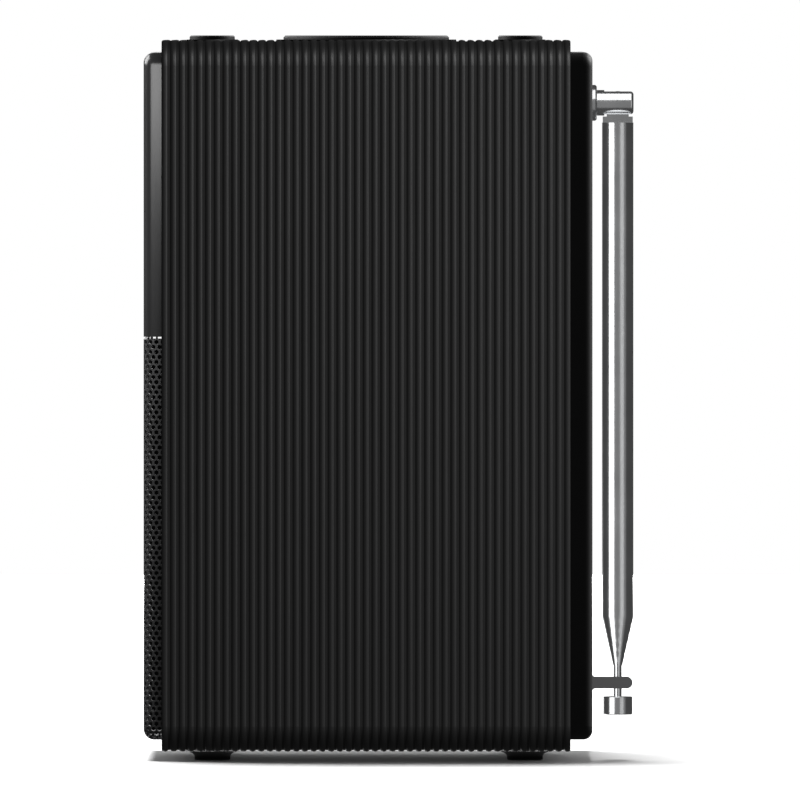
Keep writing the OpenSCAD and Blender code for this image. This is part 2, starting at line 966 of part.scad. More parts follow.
module dial_ring() {
    web_z = control_z - 2.8;
    color("#1a1a1b")
        translate([0, sleeve_y, 0])
            difference() {
                rotate_extrude($fn = 128)
                    polygon([
                        [0, web_z], [0, control_z - 1.4], [dial_r - 2.8, control_z - 1.4],
                        [dial_r - 2.8, control_z - 0.1], [dial_r - 2.6, control_z],
                        [dial_r - 0.5, control_z], [dial_r, control_z - 0.5],
                        [dial_r, ceiling_z - 0.6], [dial_r - 2, ceiling_z - 0.6], [dial_r - 2, web_z],
                        [6, web_z], [6, ceiling_z - 0.8], [0, ceiling_z - 0.8]
                    ]);
                difference() {
                    translate([0, 0, ceiling_z - 2])
                        cylinder(r = shaft_r + 0.02, h = shaft_top_z + 2.1 - ceiling_z);
                    translate([shaft_flat + 0.02, -5, ceiling_z - 3])
                        cube([5, 10, 10]);
                }
            }
}

module dial_cap() {
    bottom = control_z - 1.4;
    r = dial_r - 2.85;
    color("#222223")
        translate([0, sleeve_y, 0])
            difference() {
                rotate_extrude($fn = 96)
                    polygon([
                        [0, bottom], [r, bottom], [r, control_z - 0.3], [r - 0.2, control_z - 0.1],
                        [r - 1, control_z - 0.1], [r * 0.8, control_z - 0.3], [r * 0.5, control_z - 0.5],
                        [0, control_z - 0.6]
                    ]);
                translate([0, -r * 0.62, control_z + 10.9])
                    sphere(12);
            }
}

module switch_bodies() {
    color("#17181a")
        on_control_board()
            for (x = [-1, 1], y = [-1, 1])
                translate([x * button_x, y * button_y, 0])
                    difference() {
                        translate([-3, -3, 0])
                            cube([6, 6, 4.2]);
                        translate([0, 0, 1.2])
                            cylinder(r = plunger_r + 0.1, h = 4);
                    }
}

module button(x, y) {
    board_top = switch_board_z + board_t;
    color("#1c1c1d")
        translate([x * button_x, sleeve_y + y * button_y, 0])
            rotate_extrude()
                polygon([
                    [0, control_z], [button_r - 0.35, control_z], [button_r, control_z - 0.35],
                    [button_r, ceiling_z - 0.2], [button_r + 1, ceiling_z - 0.2],
                    [button_r + 1, ceiling_z - 1], [stem_r, ceiling_z - 1], [stem_r, board_top + 5.5],
                    [plunger_r, board_top + 5.5], [plunger_r, board_top + 2.4], [0, board_top + 2.4]
                ]);
}

module button_front_left() {
    button(-1, -1);
}

module button_front_right() {
    button(1, -1);
}

module button_back_left() {
    button(-1, 1);
}

module button_back_right() {
    button(1, 1);
}

// ---- Aerial ----

module on_pivot() {
    to_back(aerial_x, back_y, pivot_z)
        children();
}

module aerial_base() {
    color("#c8cacc")
        on_pivot()
            difference() {
                union() {
                    rotate_extrude()
                        polygon([
                            [0, 0], [flange_r, 0], [flange_r, flange_t - 0.4],
                            [flange_r - 0.4, flange_t], [0, flange_t]
                        ]);
                    translate([0, 0, -shank_l])
                        cylinder(r = shank_r, h = shank_l);
                }
                translate([0, 0, -shank_l - 1])
                    cylinder(r = spindle_r + slip, h = shank_l + flange_t + 2);
            }
}

module aerial_nut() {
    color("#9a9c9e")
        on_pivot()
            translate([0, 0, -cover_t - 3])
                difference() {
                    cylinder(r = 5.5, h = 3, $fn = 6);
                    translate([0, 0, -1])
                        cylinder(r = shank_r + slip, h = 5);
                }
}

module aerial_swivel() {
    round_r = 0.8;
    start = flange_t + 0.05;
    color("#d8dadc")
        on_pivot()
            difference() {
                union() {
                    rotate_extrude()
                        difference() {
                            translate([0, start])
                                square([barrel_r, elbow_reach - start]);
                            translate([barrel_r - round_r, elbow_reach - round_r])
                                difference() {
                                    square(round_r + 1);
                                    circle(round_r);
                                }
                        }
                    translate([0, 0, -shank_l - 1.5])
                        cylinder(r = spindle_r, h = shank_l + 4);
                }
                translate([-slot_w / 2, -barrel_r - 1, mast_y - 3.7])
                    cube([slot_w, 2 * barrel_r + 2, elbow_reach]);
                translate([-barrel_r - 1, 0, mast_y])
                    rotate([0, 90, 0])
                        cylinder(r = pin_r, h = barrel_r + 3.9);
            }
}

module aerial_clip() {
    color("#707274")
        on_pivot()
            translate([0, 0, -shank_l - 0.9])
                difference() {
                    cylinder(r = 4.2, h = 0.8);
                    translate([0, 0, -1])
                        cylinder(r = spindle_r + 0.02, h = 3);
                }
}

module aerial_pin() {
    color("#8c8e90")
        translate([aerial_x - 3.1, back_y + mast_y, pivot_z])
            rotate([0, 90, 0])
                cylinder(r = pin_r - 0.01, h = 5.9);
}

module mast_tongue() {
    shoulder_z = -3.75;
    color("#b8babc")
        translate([aerial_x, back_y + mast_y, pivot_z])
            difference() {
                union() {
                    translate([-tongue_t / 2, 0, 0])
                        rotate([0, 90, 0])
                            cylinder(r = eye_r, h = tongue_t);
                    block([-tongue_t / 2, -3, shoulder_z - 0.5], [tongue_t / 2, 3, 0]);
                    block([-tongue_t / 2, -4.1, tube_top_z - pivot_z - 0.5], [tongue_t / 2, 4.1, shoulder_z]);
                    translate([0, 0, tube_top_z - pivot_z - 6])
                        cylinder(r = mast_r[0] - tube_wall - 0.02, h = 6);
                }
                translate([-5, 0, 0])
                    rotate([0, 90, 0])
                        cylinder(r = pin_r + slip, h = 10);
                for (side = [-1, 1])
                    translate([0, side * 4, tube_top_z - pivot_z - 1])
                        cube([4, 1, 2], center = true);
            }
}

// One tube of the mast, outermost k = 0: a guide collar on top and a closed-in nose below
module mast_tube(k) {
    r = mast_r[k];
    bore = r - tube_wall;
    nose_bore = mast_r[k + 1] + slip;
    nose_r = nose_bore + 0.1;
    top = k == 0 ? tube_top_z : tube_top_z - 7 - k / 2;
    collar_r = k == 0 ? r : mast_r[k - 1] - tube_wall - slip;
    cone_z = cone_top_z - (mast_r[0] - r) / cone_slope;
    nose_z = cone_top_z - (mast_r[0] - nose_r) / cone_slope;
    color("#e0e2e4")
        translate([aerial_x, back_y + mast_y, 0])
            rotate_extrude()
                polygon([
                    [bore, top], [collar_r, top], [collar_r, top - collar_l], [r, top - collar_l - 0.2],
                    [r, cone_z], [nose_r, nose_z], [nose_bore, nose_z],
                    [nose_bore, nose_z + nose_l], [bore, nose_z + nose_l + 0.5]
                ]);
}

module mast_tube_1() {
    mast_tube(0);
}

module mast_tube_2() {
    mast_tube(1);
}

module mast_tube_3() {
    mast_tube(2);
}

module mast_tube_4() {
    mast_tube(3);
}

module mast_tube_5() {
    mast_tube(4);
}

module mast_rod() {
    top = tube_top_z - 9.5;
    bead_r = mast_r[4] - tube_wall - slip;
    color("#d4d6d8")
        translate([aerial_x, back_y + mast_y, 0])
            rotate_extrude()
                polygon([
                    [0, top], [bead_r, top], [bead_r, top - collar_l], [mast_r[5], top - collar_l - 0.2],
                    [mast_r[5], tip_z0 + 2], [0, tip_z0 + 2]
                ]);
}

module mast_tip() {
    color("#c8cacc")
        translate([aerial_x, back_y + mast_y, 0])
            rotate_extrude()
                polygon([
                    [0, tip_z0], [tip_r - 0.2, tip_z0], [tip_r, tip_z0 + 0.2], [tip_r, tip_z1 - 0.2],
                    [tip_r - 0.2, tip_z1], [mast_r[5] + 0.02, tip_z1], [mast_r[5] + 0.02, tip_z0 + 2],
                    [0, tip_z0 + 2]
                ]);
}

module aerial_rest() {
    end_r = rest_h / 2;
    root_r = 0.8;
    color("#3a3b3c")
        translate([aerial_x + rest_x, back_y, rest_z]) {
            rotate([90, 0, 90])
                linear_extrude(rest_t) {
                    translate([0, -end_r])
                        square([rest_reach - end_r, rest_h]);
                    translate([rest_reach - end_r, 0])
                        circle(end_r);
                    difference() {
                        translate([0, -end_r - root_r])
                            square([root_r, rest_h + 2 * root_r]);
                        for (side = [-1, 1])
                            translate([root_r, side * (end_r + root_r)])
                                circle(root_r);
                    }
                }
            translate([0.3, -3.2, -1.2])
                cube([rest_t - 0.6, 3.2 + eps, 2.4]);
        }
}

// ---- Leads ----

module aerial_lead() {
    flat_z = pivot_z - 5.5 * cos(30);
    y = back_y - cover_t - 1.5;
    color("#202020")
        wire([
            [aerial_x, y, flat_z], [aerial_x, y, 96], [40, y - 4, 91], [34, main_board_y0 - 4, 90],
            [-20, main_board_y0 - 4, 90], [-27, main_board_y0 - 4, 84], [-27, main_board_y0 - 4, 76]
        ], 0.8, [0, 1, 0]);
}

module speaker_lead() {
    color("#7a1f1f")
        for (x = [-3, 3])
            wire([
                [x, baffle_y1 + 2, speaker_z + 43], [x, baffle_y1 + 14, speaker_z + 43],
                [x, baffle_y1 + 40, speaker_z + 36], [x * 2 - 5, main_board_y0 - 22, 88],
                [x * 1.5 - 5, main_board_y0 - 6, 82], [x * 1.5 - 5, main_board_y0, 82]
            ], 0.9, [1, 0, 0]);
}

module ribbon_cables() {
    color("#c9c6bc") {
        block(
            [12, main_board_y0 + 0.5, main_board_box[1] + main_board_box[3]],
            [32, main_board_y0 + 1.1, switch_board_z]
        );
        block([-12, face_y + panel_t + 3 + board_t, 179], [12, baffle_y1 + 6, 179.6]);
        block([-12, baffle_y1 + 5.4, 179.6], [12, baffle_y1 + 6, switch_board_z]);
    }
}

// ---- Feet ----

module at_feet() {
    for (x = [-1, 1], y = [-foot_front, foot_back])
        translate([x * foot_x, sleeve_y + y, 0])
            children();
}

module feet() {
    pad_h = foot_gap - 1.5;
    color("#0f0f0f")
        at_feet() {
            rotate_extrude()
                polygon(concat(
                    [[0, pad_h]],
                    [
                        for (a = [0:15:90])
                            [
                                foot_pad_r + (foot_flare_r - foot_pad_r) * (1 - cos(a)),
                                pad_h + (foot_gap - pad_h) * sin(a)
                            ]
                    ],
                    [
                        [3, foot_gap], [3, foot_gap + wall + 0.1], [3.3, foot_gap + wall + 0.3],
                        [2.8, foot_gap + wall + 1], [0, foot_gap + wall + 1]
                    ]
                ));
        }
}

module foot_pads() {
    pad_h = foot_gap - 1.5;
    color("#080808")
        at_feet()
            rotate_extrude()
                polygon([
                    [0, 0], [foot_pad_r - 0.2, 0], [foot_pad_r, 0.2], [foot_pad_r, pad_h], [0, pad_h]
                ]);
}

cabinet_sleeve();
front_baffle();
front_panel();
display_lens();
display_module();
display_board();
grille_mesh();
grille_cloth();
speaker_basket();
speaker_magnet();
speaker_spider();
speaker_surround();
speaker_cone();
dust_cap();
voice_coil();
baffle_screws();
back_cover();
cover_screws();
connector_plate();
dc_jack();
audio_jacks();
usb_port();
main_board();
board_screws();
tuner_can();
board_chips();
capacitors();
heat_sink();
control_carrier();
control_board();
encoder_body();
encoder_slider();
encoder_shaft();
dial_ring();
dial_cap();
switch_bodies();
button_front_left();
button_front_right();
button_back_left();
button_back_right();
aerial_base();
aerial_nut();
aerial_swivel();
aerial_clip();
aerial_pin();
mast_tongue();
mast_tube_1();
mast_tube_2();
mast_tube_3();
mast_tube_4();
mast_tube_5();
mast_rod();
mast_tip();
aerial_rest();
aerial_lead();
speaker_lead();
ribbon_cables();
feet();
foot_pads();
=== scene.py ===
"""Looks of a compact tabletop radio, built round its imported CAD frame.

Lengths are in metres, with the front towards -Y. The camera comes first, then the materials, the
grille and its cloth, which stand for plain CAD nodes, the material of every other CAD node, and
last the floor and the lights.
"""

import json
import math

import bpy
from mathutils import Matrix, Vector

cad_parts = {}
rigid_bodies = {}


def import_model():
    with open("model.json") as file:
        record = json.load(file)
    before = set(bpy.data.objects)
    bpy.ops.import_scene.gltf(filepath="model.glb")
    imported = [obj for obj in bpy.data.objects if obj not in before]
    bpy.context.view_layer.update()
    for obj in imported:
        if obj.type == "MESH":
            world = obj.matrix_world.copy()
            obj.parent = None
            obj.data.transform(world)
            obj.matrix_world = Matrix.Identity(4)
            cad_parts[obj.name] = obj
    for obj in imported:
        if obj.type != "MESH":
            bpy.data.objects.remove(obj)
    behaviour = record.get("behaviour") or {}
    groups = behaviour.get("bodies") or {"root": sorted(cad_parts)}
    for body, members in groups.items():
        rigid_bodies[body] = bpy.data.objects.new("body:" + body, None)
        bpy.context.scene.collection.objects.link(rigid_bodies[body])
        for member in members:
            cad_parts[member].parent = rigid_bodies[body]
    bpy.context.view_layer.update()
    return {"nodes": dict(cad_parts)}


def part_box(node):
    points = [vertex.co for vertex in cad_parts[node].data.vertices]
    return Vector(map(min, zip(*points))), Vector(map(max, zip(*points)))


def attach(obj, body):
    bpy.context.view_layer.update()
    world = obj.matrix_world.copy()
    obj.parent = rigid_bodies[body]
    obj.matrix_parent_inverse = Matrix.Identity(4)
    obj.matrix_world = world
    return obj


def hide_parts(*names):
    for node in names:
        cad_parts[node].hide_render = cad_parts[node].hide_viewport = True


MM = 0.001

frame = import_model()
nodes = frame["nodes"]

sleeve_low, sleeve_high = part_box("cabinet_sleeve")
grille_low, grille_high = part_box("grille_mesh")
panel_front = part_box("front_panel")[0].y


# ---- Camera ----

CAMERA_DISTANCE = 9.0
CAMERA_HEIGHT = 0.2
CAMERA_LENS = 1485
CAMERA_REACH = 20.0
VIEW_MIDDLE = Vector((sleeve_high.x, 3.07 * MM, 98.6 * MM))


def aim(obj, target):
    """Turns a camera or a lamp towards a point."""
    obj.rotation_mode = "QUATERNION"
    obj.rotation_quaternion = (Vector(target) - obj.location).to_track_quat("-Z", "Y")


def make_camera():
    """Looks at the +X side from just over the dial, far enough away to keep edges parallel."""
    camera = bpy.data.objects.new("camera", bpy.data.cameras.new("camera"))
    bpy.context.scene.collection.objects.link(camera)
    camera.location = (VIEW_MIDDLE.x + CAMERA_DISTANCE, VIEW_MIDDLE.y, CAMERA_HEIGHT)
    camera.data.lens = CAMERA_LENS
    camera.data.clip_end = CAMERA_REACH
    aim(camera, VIEW_MIDDLE)
    bpy.context.scene.camera = camera


make_camera()


# ---- Building materials ----

# Length of one wave of the wave texture, in metres, at a scale of 1.
UNIT_WAVE = 0.314

# The sleeve's ribs, across Y.
RIBS = 47
RIB_W = 1.7 * MM
RIB_PITCH = (sleeve_high.y - sleeve_low.y - RIB_W) / (RIBS - 1)
FIRST_CREST = sleeve_low.y + RIB_W / 2


class Finish:
    """One material: each call adds a node and gives back the socket it made."""

    def __init__(self, name):
        self.material = bpy.data.materials.new(name)
        self.material.use_nodes = True
        self.tree = self.material.node_tree
        self.shader = self.tree.nodes["Principled BSDF"]
        self.place = self.node("ShaderNodeTexCoord").outputs["Object"]

    def node(self, kind, inputs=None, **settings):
        """New node; each input is a number, a colour or another node's socket."""
        made = self.tree.nodes.new(kind)
        for name, value in settings.items():
            setattr(made, name, value)
        for name, value in (inputs or {}).items():
            self.put(made.inputs[name], value)
        return made

    def put(self, socket, value):
        if isinstance(value, bpy.types.NodeSocket):
            self.tree.links.new(value, socket)
        else:
            socket.default_value = value

    def stretched(self, factors):
        inputs = {"Vector": self.place, "Scale": factors}
        return self.node("ShaderNodeMapping", inputs).outputs["Vector"]

    def noise(self, size, detail=3, stretch=(1, 1, 1)):
        """Cloudy noise from 0 to 1, with clouds of about that size."""
        inputs = {"Vector": self.stretched(stretch), "Scale": 1 / size, "Detail": detail}
        return self.node("ShaderNodeTexNoise", inputs).outputs["Fac"]

    def grains(self, size):
        """Distance to the nearest of many scattered points, for grain and flecks."""
        inputs = {"Vector": self.place, "Scale": 1 / size}
        return self.node("ShaderNodeTexVoronoi", inputs).outputs["Distance"]

    def waves(self, period, axis):
        """Bands from 0 to 1 and back, one for each period along an axis."""
        inputs = {"Vector": self.place, "Scale": UNIT_WAVE / period}
        wave = self.node("ShaderNodeTexWave", inputs, wave_type="BANDS", bands_direction=axis)
        return wave.outputs["Fac"]

    def levels(self, value, low, high, from_low=0.3, from_high=0.7):
        """Stretches a value's useful range to low and high, and clips what lies outside."""
        inputs = {
            "Value": value, "From Min": from_low, "From Max": from_high, "To Min": low, "To Max": high
        }
        return self.node("ShaderNodeMapRange", inputs).outputs["Result"]

    def math(self, operation, first, second=0.0):
        made = self.node("ShaderNodeMath", operation=operation)
        self.put(made.inputs[0], first)
        self.put(made.inputs[1], second)
        return made.outputs[0]

    def colours(self, value, *stops):
        """Colour along a value from 0 to 1; each stop is (place, colour)."""
        ramp = self.node("ShaderNodeValToRGB", {"Fac": value})
        elements = ramp.color_ramp.elements
        while len(elements) < len(stops):
            elements.new(0.5)
        for element, (place, colour) in zip(elements, stops):
            element.position = place
            element.color = (*colour, 1)
        return ramp.outputs["Color"]

    def bump(self, height, depth, under=None):
        """Raised by height times depth in metres, on top of another bump."""
        inputs = {"Height": height, "Distance": depth, "Strength": 1}
        if under is not None:
            inputs["Normal"] = under
        return self.node("ShaderNodeBump", inputs).outputs["Normal"]

    def set(self, **sockets):
        for name, value in sockets.items():
            self.put(self.shader.inputs[name.replace("_", " ")], value)
        return self.material


def shade(colour, factor):
    """The same colour, darker below a factor of 1 and lighter above it."""
    return tuple(min(1.0, part * factor) for part in colour)


def moulded(name, colour, rough=0.45, grain=0.35, depth=6e-6, spread=0.18, specular=0.5):
    """Moulded plastic: eroded grain, slow changes of colour and gloss, a few rub marks."""
    finish = Finish(name)
    cloud = finish.noise(24 * MM, 4)
    fine = finish.noise(grain * MM, 2)
    marks = finish.levels(finish.noise(3 * MM, 6, (1, 1, 0.15)), 0, 1, 0.62, 0.8)
    tone = finish.colours(cloud, (0.3, shade(colour, 1 - spread)), (0.7, shade(colour, 1 + spread)))
    rubbed = finish.math("ADD", cloud, finish.math("MULTIPLY", marks, 0.2))
    gloss = finish.levels(rubbed, rough + 0.05, rough - 0.05)
    skin = finish.bump(fine, depth)
    return finish.set(Base_Color=tone, Roughness=gloss, Normal=skin, Specular_IOR_Level=specular)


def ribbed(name, colour, painted_groove_shade):
    """Moulded ribs: a painted highlight along the crests, painted shade and a duller finish in the
    grooves.
    """
    finish = Finish(name)
    across = finish.node("ShaderNodeSeparateXYZ", {"Vector": finish.place}).outputs["Y"]
    turn = finish.math("MULTIPLY", finish.math("SUBTRACT", across, FIRST_CREST), math.tau / RIB_PITCH)
    # Painted light and shade: lighter along each crest, darker down in each groove.
    crest_light_groove_shade = finish.levels(finish.math("COSINE", turn), 0, 0.8, -0.7, 0.7)
    cloud = finish.noise(20 * MM, 4)
    height = finish.math("ADD", crest_light_groove_shade, finish.math("MULTIPLY", cloud, 0.3))
    tone = finish.colours(height, (0.1, painted_groove_shade), (0.9, colour))
    gloss = finish.levels(height, 0.62, 0.4, 0.1, 1)
    skin = finish.bump(finish.noise(0.3 * MM, 2), 6e-6)
    return finish.set(Base_Color=tone, Roughness=gloss, Normal=skin)


def polished(name, colour, rough, coat=0.0):
    """Glossy plastic or glass: faint orange peel and hairline scratches."""
    finish = Finish(name)
    peel = finish.noise(2.2 * MM, 2)
    hair = finish.noise(0.5 * MM, 5, (1, 1, 0.04))
    tone = finish.colours(finish.noise(30 * MM), (0.3, shade(colour, 0.88)), (0.7, shade(colour, 1.12)))
    gloss = finish.levels(hair, rough - 0.005, rough + 0.015)
    skin = finish.bump(hair, 0.08e-6, finish.bump(peel, 0.8e-6))
    return finish.set(Base_Color=tone, Roughness=gloss, Normal=skin, Coat_Weight=coat)


def drawn_metal(name, colour, rough, along=(1, 1, 0.02)):
    """Plated or turned metal: fine draw lines along one axis, and slow changes of gloss."""
    finish = Finish(name)
    lines = finish.noise(0.25 * MM, 4, along)
    haze = finish.noise(9 * MM, 3)
    tone = finish.colours(haze, (0.3, shade(colour, 0.94)), (0.7, shade(colour, 1.04)))
    mean = finish.math("MULTIPLY", finish.math("ADD", lines, haze), 0.5)
    gloss = finish.levels(mean, rough - 0.03, rough + 0.05)
    skin = finish.bump(lines, 0.5e-6)
    return finish.set(Base_Color=tone, Roughness=gloss, Metallic=1.0, Normal=skin)


def coated_metal(name, colour, rough, metallic=0.6):
    """Painted, blacked or anodised metal, with a fine pebbled coat."""
    finish = Finish(name)
    pebble = finish.noise(0.3 * MM, 3)
    tone = finish.colours(finish.noise(12 * MM), (0.3, shade(colour, 0.93)), (0.7, shade(colour, 1.07)))
    gloss = finish.levels(pebble, rough - 0.06, rough + 0.06)
    skin = finish.bump(pebble, 3e-6)
    return finish.set(Base_Color=tone, Roughness=gloss, Metallic=metallic, Normal=skin)


def rubber(name, colour, rough):
    """Matt rubber or cable sleeving, with a little dust."""
    finish = Finish(name)
    dust = finish.noise(5 * MM, 5)
    tone = finish.colours(dust, (0.35, colour), (0.8, shade(colour, 2.2)))
    gloss = finish.levels(dust, rough - 0.06, rough + 0.08)
    skin = finish.bump(finish.noise(0.2 * MM), 8e-6)
    return finish.set(Base_Color=tone, Roughness=gloss, Normal=skin, Specular_IOR_Level=0.3)


def fibre(name, colour):
    """Pressed paper, with flecks of lighter and darker pulp."""
    finish = Finish(name)
    pulp = finish.noise(0.5 * MM, 5, (1, 1, 0.5))
    tone = finish.colours(pulp, (0.3, shade(colour, 0.6)), (0.7, shade(colour, 1.6)))
    gloss = finish.levels(finish.grains(0.8 * MM), 0.8, 0.98, 0, 1)
    return finish.set(Base_Color=tone, Roughness=gloss, Normal=finish.bump(pulp, 2e-5))


def woven(name, colour, thread, sheen=0.4):
    """Plain weave: two sets of threads that pass over and under each other, with painted shade between.
    """
    finish = Finish(name)
    warp = finish.waves(thread * MM, "X")
    weft = finish.waves(thread * MM, "Z")
    crossings_and_gap_shade = finish.math("MULTIPLY", warp, weft)
    slub = finish.noise(1.5 * MM, 4, (1, 1, 0.3))
    height = finish.math("ADD", crossings_and_gap_shade, finish.math("MULTIPLY", slub, 0.4))
    # Painted light and shade: lighter on the raised crossings, darker in the gaps between the threads.
    tone = finish.colours(height, (0.1, shade(colour, 0.35)), (0.9, shade(colour, 1.5)))
    gloss = finish.levels(slub, 0.82, 0.95)
    skin = finish.bump(height, 4e-5)
    return finish.set(Base_Color=tone, Roughness=gloss, Normal=skin, Sheen_Weight=sheen)


def circuit(name, colour):
    """Solder mask over copper tracks, with tinned pads."""
    finish = Finish(name)
    inputs = {"Vector": finish.place, "Scale": 1 / (3.2 * MM), "Randomness": 0.7}
    cells = finish.node("ShaderNodeTexVoronoi", inputs, feature="DISTANCE_TO_EDGE")
    track = finish.levels(cells.outputs["Distance"], 1, 0, 0.03, 0.06)
    pads = finish.levels(finish.grains(4 * MM), 1, 0, 0.07, 0.09)
    mask = finish.colours(track, (0, colour), (1, shade(colour, 1.9)))
    mix = finish.node("ShaderNodeMix", {"Factor": pads}, data_type="RGBA")
    finish.put(mix.inputs["A"], mask)
    finish.put(mix.inputs["B"], (0.6, 0.61, 0.6, 1))
    tone = mix.outputs["Result"]
    gloss = finish.levels(track, 0.3, 0.22, 0, 1)
    skin = finish.bump(track, 2e-5)
    return finish.set(Base_Color=tone, Roughness=gloss, Metallic=pads, Normal=skin)


def stripes(name, colour, dark, period, axis, rough=0.5):
    """Flat cable or wound wire: rounded, a little uneven strands side by side, painted shade between
    them.
    """
    finish = Finish(name)
    strand_and_gap_shade = finish.waves(period * MM, axis)
    # The dark colour is painted shade in the gaps between the rounded strands.
    tone = finish.colours(strand_and_gap_shade, (0.1, dark), (0.6, colour))
    gloss = finish.levels(finish.noise(4 * MM), rough - 0.06, rough + 0.08)
    skin = finish.bump(strand_and_gap_shade, period * MM / 6)
    return finish.set(Base_Color=tone, Roughness=gloss, Normal=skin)


MATERIALS = {
    # The ribbed plastic's second colour is painted shade for the grooves between the ribs.
    "ribbed_plastic": ribbed("ribbed_plastic", (0.0155, 0.0155, 0.0157), (0.002, 0.002, 0.002)),
    "smooth_plastic": moulded(
        "smooth_plastic", (0.013, 0.013, 0.0133), rough=0.5, grain=0.5, depth=1e-5
    ),
    "inner_plastic": moulded(
        "inner_plastic", (0.02, 0.02, 0.02), rough=0.6, grain=0.6, depth=2e-5
    ),
    "gloss_panel": polished("gloss_panel", (0.021, 0.021, 0.0215), rough=0.24),
    "display_window": polished("display_window", (0.006, 0.007, 0.008), rough=0.06, coat=0.4),
    "display_glass": polished("display_glass", (0.05, 0.06, 0.06), rough=0.08),
    "circuit_board": circuit("circuit_board", (0.012, 0.075, 0.03)),
    "grille_metal": coated_metal("grille_metal", (0.055, 0.055, 0.056), rough=0.36),
    "acoustic_cloth": woven("acoustic_cloth", (0.006, 0.006, 0.006), 0.35),
    "inner_metal": coated_metal("inner_metal", (0.035, 0.035, 0.035), rough=0.5),
    "magnet_steel": coated_metal("magnet_steel", (0.1, 0.1, 0.105), rough=0.42, metallic=0.9),
    "spider_cloth": woven("spider_cloth", (0.42, 0.24, 0.09), 0.5, sheen=0.1),
    "surround_rubber": rubber("surround_rubber", (0.01, 0.01, 0.01), rough=0.6),
    "cone_paper": fibre("cone_paper", (0.012, 0.013, 0.015)),
    # The coil wire's second colour is painted shade between the turns of wire.
    "coil_wire": stripes(
        "coil_wire", (0.5, 0.22, 0.1), (0.12, 0.05, 0.02), 0.22, "Y", rough=0.3
    ),
    "screw_steel": drawn_metal("screw_steel", (0.45, 0.45, 0.46), rough=0.3, along=(1, 1, 1)),
    "black_steel": coated_metal("black_steel", (0.03, 0.03, 0.032), rough=0.38),
    "plated_steel": drawn_metal("plated_steel", (0.55, 0.56, 0.57), rough=0.26, along=(1, 0.1, 1)),
    "socket_plastic": moulded("socket_plastic", (0.008, 0.008, 0.008), rough=0.42),
    "capacitor_sleeve": polished("capacitor_sleeve", (0.02, 0.035, 0.09), rough=0.24),
    "black_aluminium": coated_metal("black_aluminium", (0.04, 0.04, 0.045), rough=0.34, metallic=0.9),
    "white_plastic": moulded("white_plastic", (0.7, 0.7, 0.66), spread=0.05),
    "control_plastic": moulded(
        "control_plastic", (0.009, 0.009, 0.0095), rough=0.55, grain=0.25, specular=0.3
    ),
    "chrome": drawn_metal("chrome", (0.86, 0.87, 0.88), rough=0.18),
    "rest_plastic": moulded("rest_plastic", (0.115, 0.115, 0.117), rough=0.42, grain=0.4),
    "wire_black": rubber("wire_black", (0.01, 0.01, 0.01), rough=0.5),
    "wire_red": rubber("wire_red", (0.25, 0.02, 0.02), rough=0.5),
    # The ribbon's second colour is painted shade in the grooves between its strands.
    "ribbon_plastic": stripes(
        "ribbon_plastic", (0.6, 0.58, 0.53), (0.3, 0.29, 0.26), 1.0, "X"
    ),
    "foot_plastic": moulded("foot_plastic", (0.008, 0.008, 0.008), rough=0.5),
    "rubber": rubber("rubber", (0.006, 0.006, 0.006), rough=0.85),
}


# ---- Grille: perforated tray with acoustic cloth behind it ----

# The tray: a flat face with a rounded edge and a wall on both sides and below.
FACE_Y = grille_low.y
CORNER_R = 3.7 * MM
EDGE_R = 2.9 * MM
TRAY_WALL = grille_high.y - grille_low.y - EDGE_R
CORNER_X = grille_high.x - CORNER_R
CORNER_Z = grille_low.z + CORNER_R
FOLD = 0.8 * MM

# Its holes, in staggered rows on the face, the side walls, the lower wall and the corners.
HOLE_COLUMNS = 74
HOLE_ROWS = 77
WALL_COLUMNS = 5
UNDER_ROWS = 6
CORNER_ROWS = 4
HOLE_R = 0.65 * MM
HOLE_DEPTH = 0.5 * MM
HOLE_TURNS = (210, 270, 330, 30, 90, 150)
PITCH = 2 * CORNER_X / HOLE_COLUMNS
ROW = (grille_high.z - CORNER_Z) / HOLE_ROWS

# Unfolded: from a corner's centre line to the sheet's edge, and from the middle to that edge and
# to the outermost holes.
TRAY_LENGTH = CORNER_R - EDGE_R + EDGE_R * math.pi / 2 + TRAY_WALL
SHEET_END = CORNER_X + TRAY_LENGTH
HOLES_END = CORNER_X + WALL_COLUMNS * PITCH

# The cloth inside it: how far behind the tray's outer face, how far short of its edges, and into
# how many faces its front, its walls and its corners are cut.
CLOTH_SINK = 0.85 * MM
CLOTH_HEM = 0.6 * MM
CLOTH_TOP_HEM = 1.0 * MM
CLOTH_COLUMNS = 60
CLOTH_ROWS = 50
CLOTH_WALL_STEPS = 10
CLOTH_CORNER_STEPS = 8

SMOOTH_ANGLE = math.radians(35)


def tray_section(t, sink=0.0):
    """How far out and how far back the sheet is, t metres from a corner's centre line."""
    lip = CORNER_R - EDGE_R
    arc = EDGE_R * math.pi / 2
    if t < lip:
        return t, sink
    if t < lip + arc:
        a = (t - lip) / EDGE_R
        r = EDGE_R - sink
        return lip + r * math.sin(a), EDGE_R - r * math.cos(a)
    return CORNER_R - sink, EDGE_R + t - lip - arc


def tray_point(a, b, sink=0.0):
    """Point of the tray at a across and b up its unfolded sheet, sunk behind the outer face."""
    side = math.copysign(1, a)
    over = max(0.0, abs(a) - CORNER_X)
    under = max(0.0, CORNER_Z - b)
    if over > 0 and under > 0:
        turn = min(under / CORNER_R, math.pi / 2)
        out, back = tray_section(over, sink)
        return Vector((
            side * (CORNER_X + out * math.cos(turn)), FACE_Y + back, CORNER_Z - out * math.sin(turn)
        ))
    if under > 0:
        out, back = tray_section(under, sink)
        return Vector((a, FACE_Y + back, CORNER_Z - out))
    out, back = tray_section(over, sink)
    x = side * (CORNER_X + out) if over > 0 else a
    return Vector((x, FACE_Y + back, b))


